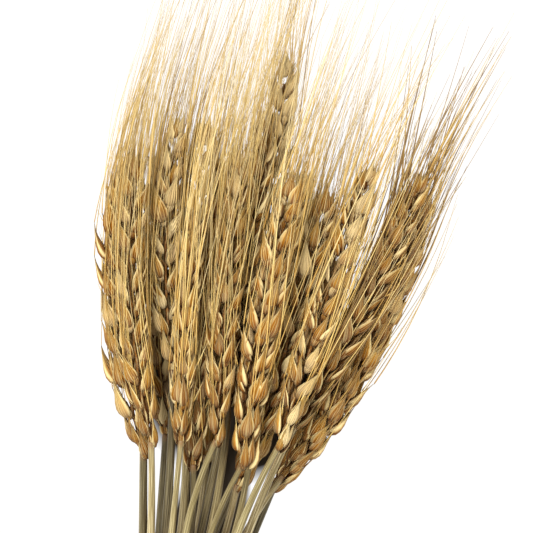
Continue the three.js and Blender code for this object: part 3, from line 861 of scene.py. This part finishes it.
def tie_place(i, ears):
    """Where straw i of that many in a row lies in the tie, in mm to the right of its middle."""
    return (i - (ears - 1) / 2) * STRAW_PITCH


print("the widest row is", -2 * tie_place(0, max(len(row) for row in ROWS)), "mm wide in the tie")


# %% Round things along a path
def rings_along(middle, ahead, level, radii, lap):
    """Rings round a path's points: at angle a the middle, plus the radius times side cos a - other sin a. The
    side is ahead x level, and other is side x ahead."""
    side = unit(np.cross(ahead, level))
    other = np.cross(side, ahead)
    outwards = side[:, None] * np.cos(lap)[:, None] - other[:, None] * np.sin(lap)[:, None]
    return middle[:, None] + radii[..., None] * outwards


# %% A straw
STRAW_AROUND = 16
HOLLOW, WALL = 9, 0.45  # mm deep and thick
EVEN_RINGS, RIM_CLEAR, TOP_CLEAR = 56, 3, 5  # rings at even steps, and mm to the rim and to the top
JOINT_RINGS = np.arange(-3, 4)  # mm from the joint
TOP_RINGS = np.array([4, 3, 2.2, 1.4, 0.7, 0])  # mm below the top
CUT_THICKER = 1.05  # at the cut end
JOINT_SWELL = (0.16, 1.5)  # how much thicker, and mm over which it fades
COLLAR_AT, COLLAR_SWELL = 1.6, (0.08, 1.1)  # mm below the top, and the same two
TOP_POINT = 0.4  # mm that its last point lies above the top


def swell(distance, share, reach):
    """share times e^-(distance / reach)^2."""
    return share * np.exp(-((distance / reach) ** 2))


def straw(path, radius, top_share, joint_at, rng):
    """The hollow's end, its wall, the rim, and the outside up to the ear. The radius shrinks to top_share of
    itself over the last third, and swells at the joint and at the collar."""
    way = way_along(path)
    total = way[-1]
    even = np.linspace(RIM_CLEAR, total - TOP_CLEAR, EVEN_RINGS)
    outside = np.sort(np.concatenate([[0], even, joint_at + JOINT_RINGS, total - TOP_RINGS]))
    at = np.concatenate([[HOLLOW, 0], outside])
    top = total - at
    size = radius * mix(CUT_THICKER, 1, at / total) * mix(top_share, 1, ease(top, 0, total / 3))
    size *= 1 + swell(at - joint_at, *JOINT_SWELL) + swell(top - COLLAR_AT, *COLLAR_SWELL)
    size[:2] = size[2] - WALL
    middle, ahead = (between(values, way, at) for values in (path, unit(np.gradient(path, way, axis=0))))
    lap = ring_angles(STRAW_AROUND)
    rings = rings_along(middle, ahead, UP, size[:, None], lap)
    points = np.vstack([middle[:1], rings.reshape(-1, 3), middle[-1:] + [0, TOP_POINT, 0]])
    place = np.stack(np.broadcast_arrays(np.cos(lap), np.sin(lap), top[:, None]), -1)
    place = np.vstack([[0, 0, top[0]], place.reshape(-1, 3), [0, 0, 0]])
    return tubes(points[None], place[None], np.array([rng.uniform(0, 1)]), len(at), STRAW_AROUND)


# %% [markdown]
# ## Pale straw
# Ripe straw is a stem of long fibres under a waxy skin, which dries pale khaki, with a silky sheen. Fibres
# show as fine lines, some stems are greener and darker, and the collar under the ear is reddish brown.

# %% Pale straw
STEM_RADIUS = 1.6  # mm, what place gives as 1 across a straw
FIBRE_LINE = (0.32, 16.67)  # mm wide and long
COLLAR = (0.5, 3.5)  # mm below the top, over which its colour fades
LINE_RELIEF = 0.1  # mm


def pale_straw():
    """Noise drawn out along the straw gives lines and relief. The colour is the lines' times the straw's own
    tone, then browned at the collar."""
    material, tree, shader = new_material("pale straw", roughness=0.42, specular=0.3)
    place, (_, _, top), tone = reads(tree)
    across, along = STEM_RADIUS / FIBRE_LINE[0], 1 / FIBRE_LINE[1]
    stretched = add_node(tree, "Mapping", {0: place, 3: (across, across, along)})
    streaks = add_node(tree, "TexNoise", {0: stretched[0], "Scale": 1.0, "Detail": 4.0})
    lines = add_node(tree, "ValToRGB", {0: streaks[0]}, stops=[
        (0.32, "#463b22"), (0.5, "#90845e"), (0.66, "#d8d0b0"),
    ])
    own_tone = add_node(tree, "ValToRGB", {0: tone}, stops=[
        (0.0, "#68644a"), (0.3, "#a89c74"), (0.65, "#e4dec4"), (1.0, "#fff8ea"),
    ])
    colour = add_node(tree, "Mix", {0: 0.8, 6: lines[0], 7: own_tone[0]}, **TIMES)
    collar = add_node(tree, "MapRange", {0: top, 1: COLLAR[0], 2: COLLAR[1], 3: 0.7, 4: 0.0},
                      interpolation_type="SMOOTHSTEP")
    colour = add_node(tree, "Mix", {0: collar[0], 6: colour[2], 7: linear("#7d5a34")}, **MIXED)
    # painted shade: browner deep between straws
    tree.links.new(shaded(tree, colour[2], 14, 0.95, 0.9), shader.inputs["Base Color"])
    bump = add_node(tree, "Bump", {"Strength": 0.4, "Distance": LINE_RELIEF * MM, "Height": streaks[0]})
    tree.links.new(bump[0], shader.inputs["Normal"])
    return material


STRAW = pale_straw()
print(STRAW.name, "has", len(STRAW.node_tree.nodes), "nodes")

# %% Build the straws
STRAW_RADII = (1.75, 1.5, 1.65, 1.45, 1.7)  # mm, by turns
TOP_SHARE = (0.85, 0.8, 0.72, 0.62)  # a straw's width under its ear, by row, where 1 is that lower down
CUT_STAGGER, STAGGERS = 3.5, 3  # mm, and how many lengths of straw there are
JOINT_AT = (25, 60)  # mm from the cut end
number = 0
for row, ears in enumerate(LINES):
    for i, (line, ear) in enumerate(zip(ears, ROWS[row])):
        cut_end = CUT_END - CUT_STAGGER * (number % STAGGERS)
        path = straw_line(line, row, tie_place(i, len(ears)), cut_end, ear[7])
        radius = STRAW_RADII[number % len(STRAW_RADII)]
        made = straw(path, radius, TOP_SHARE[row], rng.uniform(*JOINT_AT), rng)
        number += 1
        name = f"straw_{number:02d}"
        add_piece(f"wheat_{name}", [made], [STRAW], name)
print(number, "straws")

# %% [markdown]
# ## The tie
# Jute twine is wound four times round the bundle and knotted on top. Its three plies show as slanting
# ridges. Three tubes twisted together would cost three times the faces, so one strand is one tube, whose
# radius dips where plies meet.

# %% A strand of twine
TWINE_RADIUS = 1.05  # mm
PLIES = 3
GROOVE = 0.2  # how much the radius dips
TWIST_LENGTH = 7.0  # mm for one ply to go once round
TWINE_AROUND = 18
TWINE_STEP = 0.8  # mm from ring to ring
LEVEL = (0, 1, 0.02)  # a direction that no stretch of the twine takes


def strand(path):
    """A three-ply strand along a path: the radius times (0.8 + 0.2 |cos(1.5 (a - 2 pi s / twist))|) at angle
    a and s mm along it."""
    way = way_along(path)
    at = np.linspace(0, way[-1], int(way[-1] / TWINE_STEP))
    lap = ring_angles(TWINE_AROUND)
    phase = lap - 2 * math.pi * at[:, None] / TWIST_LENGTH
    ply = np.abs(np.cos(phase * PLIES / 2))
    middle = between(path, way, at)
    ahead = unit(np.gradient(middle, axis=0))
    rings = rings_along(middle, ahead, LEVEL, TWINE_RADIUS * mix(1 - GROOVE, 1, ply), lap)
    points = np.vstack([middle[:1], rings.reshape(-1, 3), middle[-1:]])
    place = np.stack(np.broadcast_arrays(ply, at[:, None], phase % (2 * math.pi)), -1)
    place = np.vstack([[0, 0, 0], place.reshape(-1, 3), [0, 0, 0]])
    return tubes(points[None], place[None], np.array([0.5]), len(at), TWINE_AROUND)


# %% The way of the twine
TWINE_TURNS = 4
TWINE_OFFSET = 3.0  # mm from the outer straws' middle lines to the twine's
TURN_PITCH = 1.03  # from turn to turn, as a share of the twine's width
OUTLINE_SAMPLES, TURN_SAMPLES = 720, 60
KNOT_SIZE = (1.15, 1.05, 1.0)  # mm to a unit of its formula
KNOT_RIGHT, KNOT_ABOVE = 2, 0.9  # mm from the middle, and above the twine
TAILS = ((4, -15), (-5, -13))  # mm from the knot, to the right and along, where they end
TAIL_LEAVES, TAIL_SINKS = 0.3, 1.6  # the share of its way to the right where it leaves the knot, and mm
TAIL_WAVE, TAIL_WAVES = 0.4, 5  # mm to the side, and radians


def winding():
    """The twine's middle line: round the outline of the outer straws, and one twine width on per turn. At
    angle a the outline's point is the outermost straw that way, plus the offset that way."""
    straws = np.array([(tie_place(i, len(ears)), row_height(row, IN_TIE))
                       for row, ears in enumerate(ROWS) for i in range(len(ears))])
    a = ring_angles(OUTLINE_SAMPLES) + math.pi / 2
    way = np.stack([np.cos(a), np.sin(a)], 1)
    outline = straws[np.argmax(way @ straws.T, axis=1)] + TWINE_OFFSET * way
    outline = np.vstack([outline, outline[:1]])
    run = way_along(outline)
    turns = np.linspace(0, TWINE_TURNS, TURN_SAMPLES * TWINE_TURNS + 1)
    x, z = between(outline, run, turns % 1 * run[-1]).T
    return np.stack([x, (turns - TWINE_TURNS / 2) * TWINE_RADIUS * 2 * TURN_PITCH, z], 1)


def knot():
    """An overhand knot: (sin t + 2 sin 2t, cos t - 2 cos 2t, - sin 3t), times its size."""
    t = np.linspace(0, 2 * math.pi, 120)
    shape = np.stack([np.sin(t) + 2 * np.sin(2 * t), np.cos(t) - 2 * np.cos(2 * t), -np.sin(3 * t)], 1)
    return shape * KNOT_SIZE


def tail(x, y):
    """A tail's middle line: straight to (x, y), sinking by the square of the way, and swaying by a sine."""
    s = np.linspace(0, 1, 20)[:, None]
    straight = [x * TAIL_LEAVES, 0, 0] + s * [x * (1 - TAIL_LEAVES), y, 0]
    return straight + s**2 * [0, 0, -TAIL_SINKS] + np.sin(s * TAIL_WAVES) * [TAIL_WAVE, 0, 0]


top = row_height(len(ROWS) - 1, IN_TIE) + TWINE_OFFSET + TWINE_RADIUS
KNOT_AT = np.array([KNOT_RIGHT, 0, top + KNOT_ABOVE])
WAYS = [winding(), knot() + KNOT_AT, *[tail(x, y) + KNOT_AT for x, y in TAILS]]
print("twine of", round(sum(way_along(path)[-1] for path in WAYS)), "mm")

# %% [markdown]
# ## Jute twine
# Jute is spun from coarse tan bast fibres. To the eye it is rough and quite without sheen, with darker and
# lighter fibres that lift off the plies a little.

# %% Jute twine
FIBRE = (0.21, 0.357)  # mm wide and long
FIBRE_DEPTH = 0.26  # mm, how far a fibre reaches from a ply's top into the groove
FIBRE_RELIEF = 0.2  # mm


def jute():
    """Noise over the ply, the way along and the angle gives each fibre its colour and its relief."""
    material, tree, shader = new_material("jute twine", roughness=0.9)
    place = add_node(tree, "Attribute", attribute_name="place")["Vector"]
    to_fibres = (TWINE_RADIUS / FIBRE_DEPTH, 1 / FIBRE[1], TWINE_RADIUS / FIBRE[0])
    stretched = add_node(tree, "Mapping", {0: place, 3: to_fibres})
    fibres = add_node(tree, "TexNoise", {0: stretched[0], "Scale": 1.0, "Detail": 6.0})
    colour = add_node(tree, "ValToRGB", {0: fibres[0]}, stops=[
        (0.3, "#6f5331"), (0.5, "#a4814f"), (0.7, "#c8a874"),
    ])
    tree.links.new(colour[0], shader.inputs["Base Color"])
    bump = add_node(tree, "Bump", {"Strength": 0.8, "Distance": FIBRE_RELIEF * MM, "Height": fibres[0]})
    tree.links.new(bump[0], shader.inputs["Normal"])
    return material


# %% Build the tie
tie = add_piece("jute_tie", [strand(path) for path in WAYS], [jute()], "tie")
print("twine wound", TWINE_TURNS, "times,", len(tie.data.polygons), "faces")

# %% [markdown]
# ## Table and light
# The picture is a studio shot on white: warm soft light from all round, and a soft box from the upper left.
# A white table would still show a grey shadow, which the picture has not, so the table itself glows as white
# as the picture's ground. Where it glowed between ears and straws, the bundle would look thin, so two
# ellipses under them don't glow and show a painted dark brown shade, for the depth of a thick bundle.

# %% The table
TABLE_HALF = 1.5  # m, half its side
# painted shade: the table's own dark brown, which shows in two ellipses under the bundle, where it doesn't
# glow
SHADE = "#3a3024"
SHADES = [((-2, 146, 0), (44, 52, 1000)), ((0, 80, 0), (15, 48, 1000))]  # mm: the middle from the tie and the
# half size of the shade under the ears, and of that under the straws
SHADE_EDGE = (0.8, 0.92)  # of the half size, over which the shade fades

mesh = bpy.data.meshes.new("table")
corners = [(x * TABLE_HALF, y * TABLE_HALF, 0) for x, y in ((-1, -1), (1, -1), (1, 1), (-1, 1))]
mesh.from_pydata(corners, [], [(0, 1, 2, 3)])
table = new_object("table", mesh)
material, tree, shader = new_material("white table", roughness=0.9)
shader.inputs["Base Color"].default_value = linear(SHADE)
shader.inputs["Emission Color"].default_value = (1, 1, 1, 1)
place = add_node(tree, "TexCoord")["Object"]
off = []
for middle, half_size in SHADES:
    middle, half_size = (TIE_MIDDLE + middle) * MM, np.array(half_size) * MM
    scaled = add_node(tree, "Mapping", {0: place, 1: tuple(-middle / half_size), 3: tuple(1 / half_size)})
    off.append(add_node(tree, "VectorMath", {0: scaled[0]}, operation="LENGTH")["Value"])
nearest = add_node(tree, "Math", dict(enumerate(off)), operation="MINIMUM")
# the table glows white outside the ellipses and shows its painted shade inside them
glow = add_node(tree, "MapRange", {0: nearest[0], 1: SHADE_EDGE[0], 2: SHADE_EDGE[1], 3: 0.0, 4: 1.0})
tree.links.new(glow[0], shader.inputs["Emission Strength"])
mesh.materials.append(material)
print(len(off), "shades on the table")

# %% Sky and soft box
SKY_COLOUR, SKY_STRENGTH = (1, 0.965, 0.9, 1), 1.2
BOX_PLACE = (-300, 200, 1000)  # mm from the ears' middle
BOX_SIDE = 300  # mm
BOX_POWER = 12.5  # watts

world = bpy.data.worlds.new("studio")
bpy.context.scene.world = world
world.use_nodes = True
world.node_tree.nodes["Background"].inputs["Color"].default_value = SKY_COLOUR
world.node_tree.nodes["Background"].inputs["Strength"].default_value = SKY_STRENGTH
light = new_object("soft box", bpy.data.lights.new("soft box", "AREA"))
light.location = (TIE_MIDDLE + PICTURE_MIDDLE + BOX_PLACE) * MM
light.rotation_euler = Vector(BOX_PLACE).to_track_quat("Z", "Y").to_euler()
light.data.size = BOX_SIDE * MM
light.data.energy = BOX_POWER
bpy.context.scene.view_settings.view_transform = "Standard"
print("soft box at", [round(x, 3) for x in light.location])
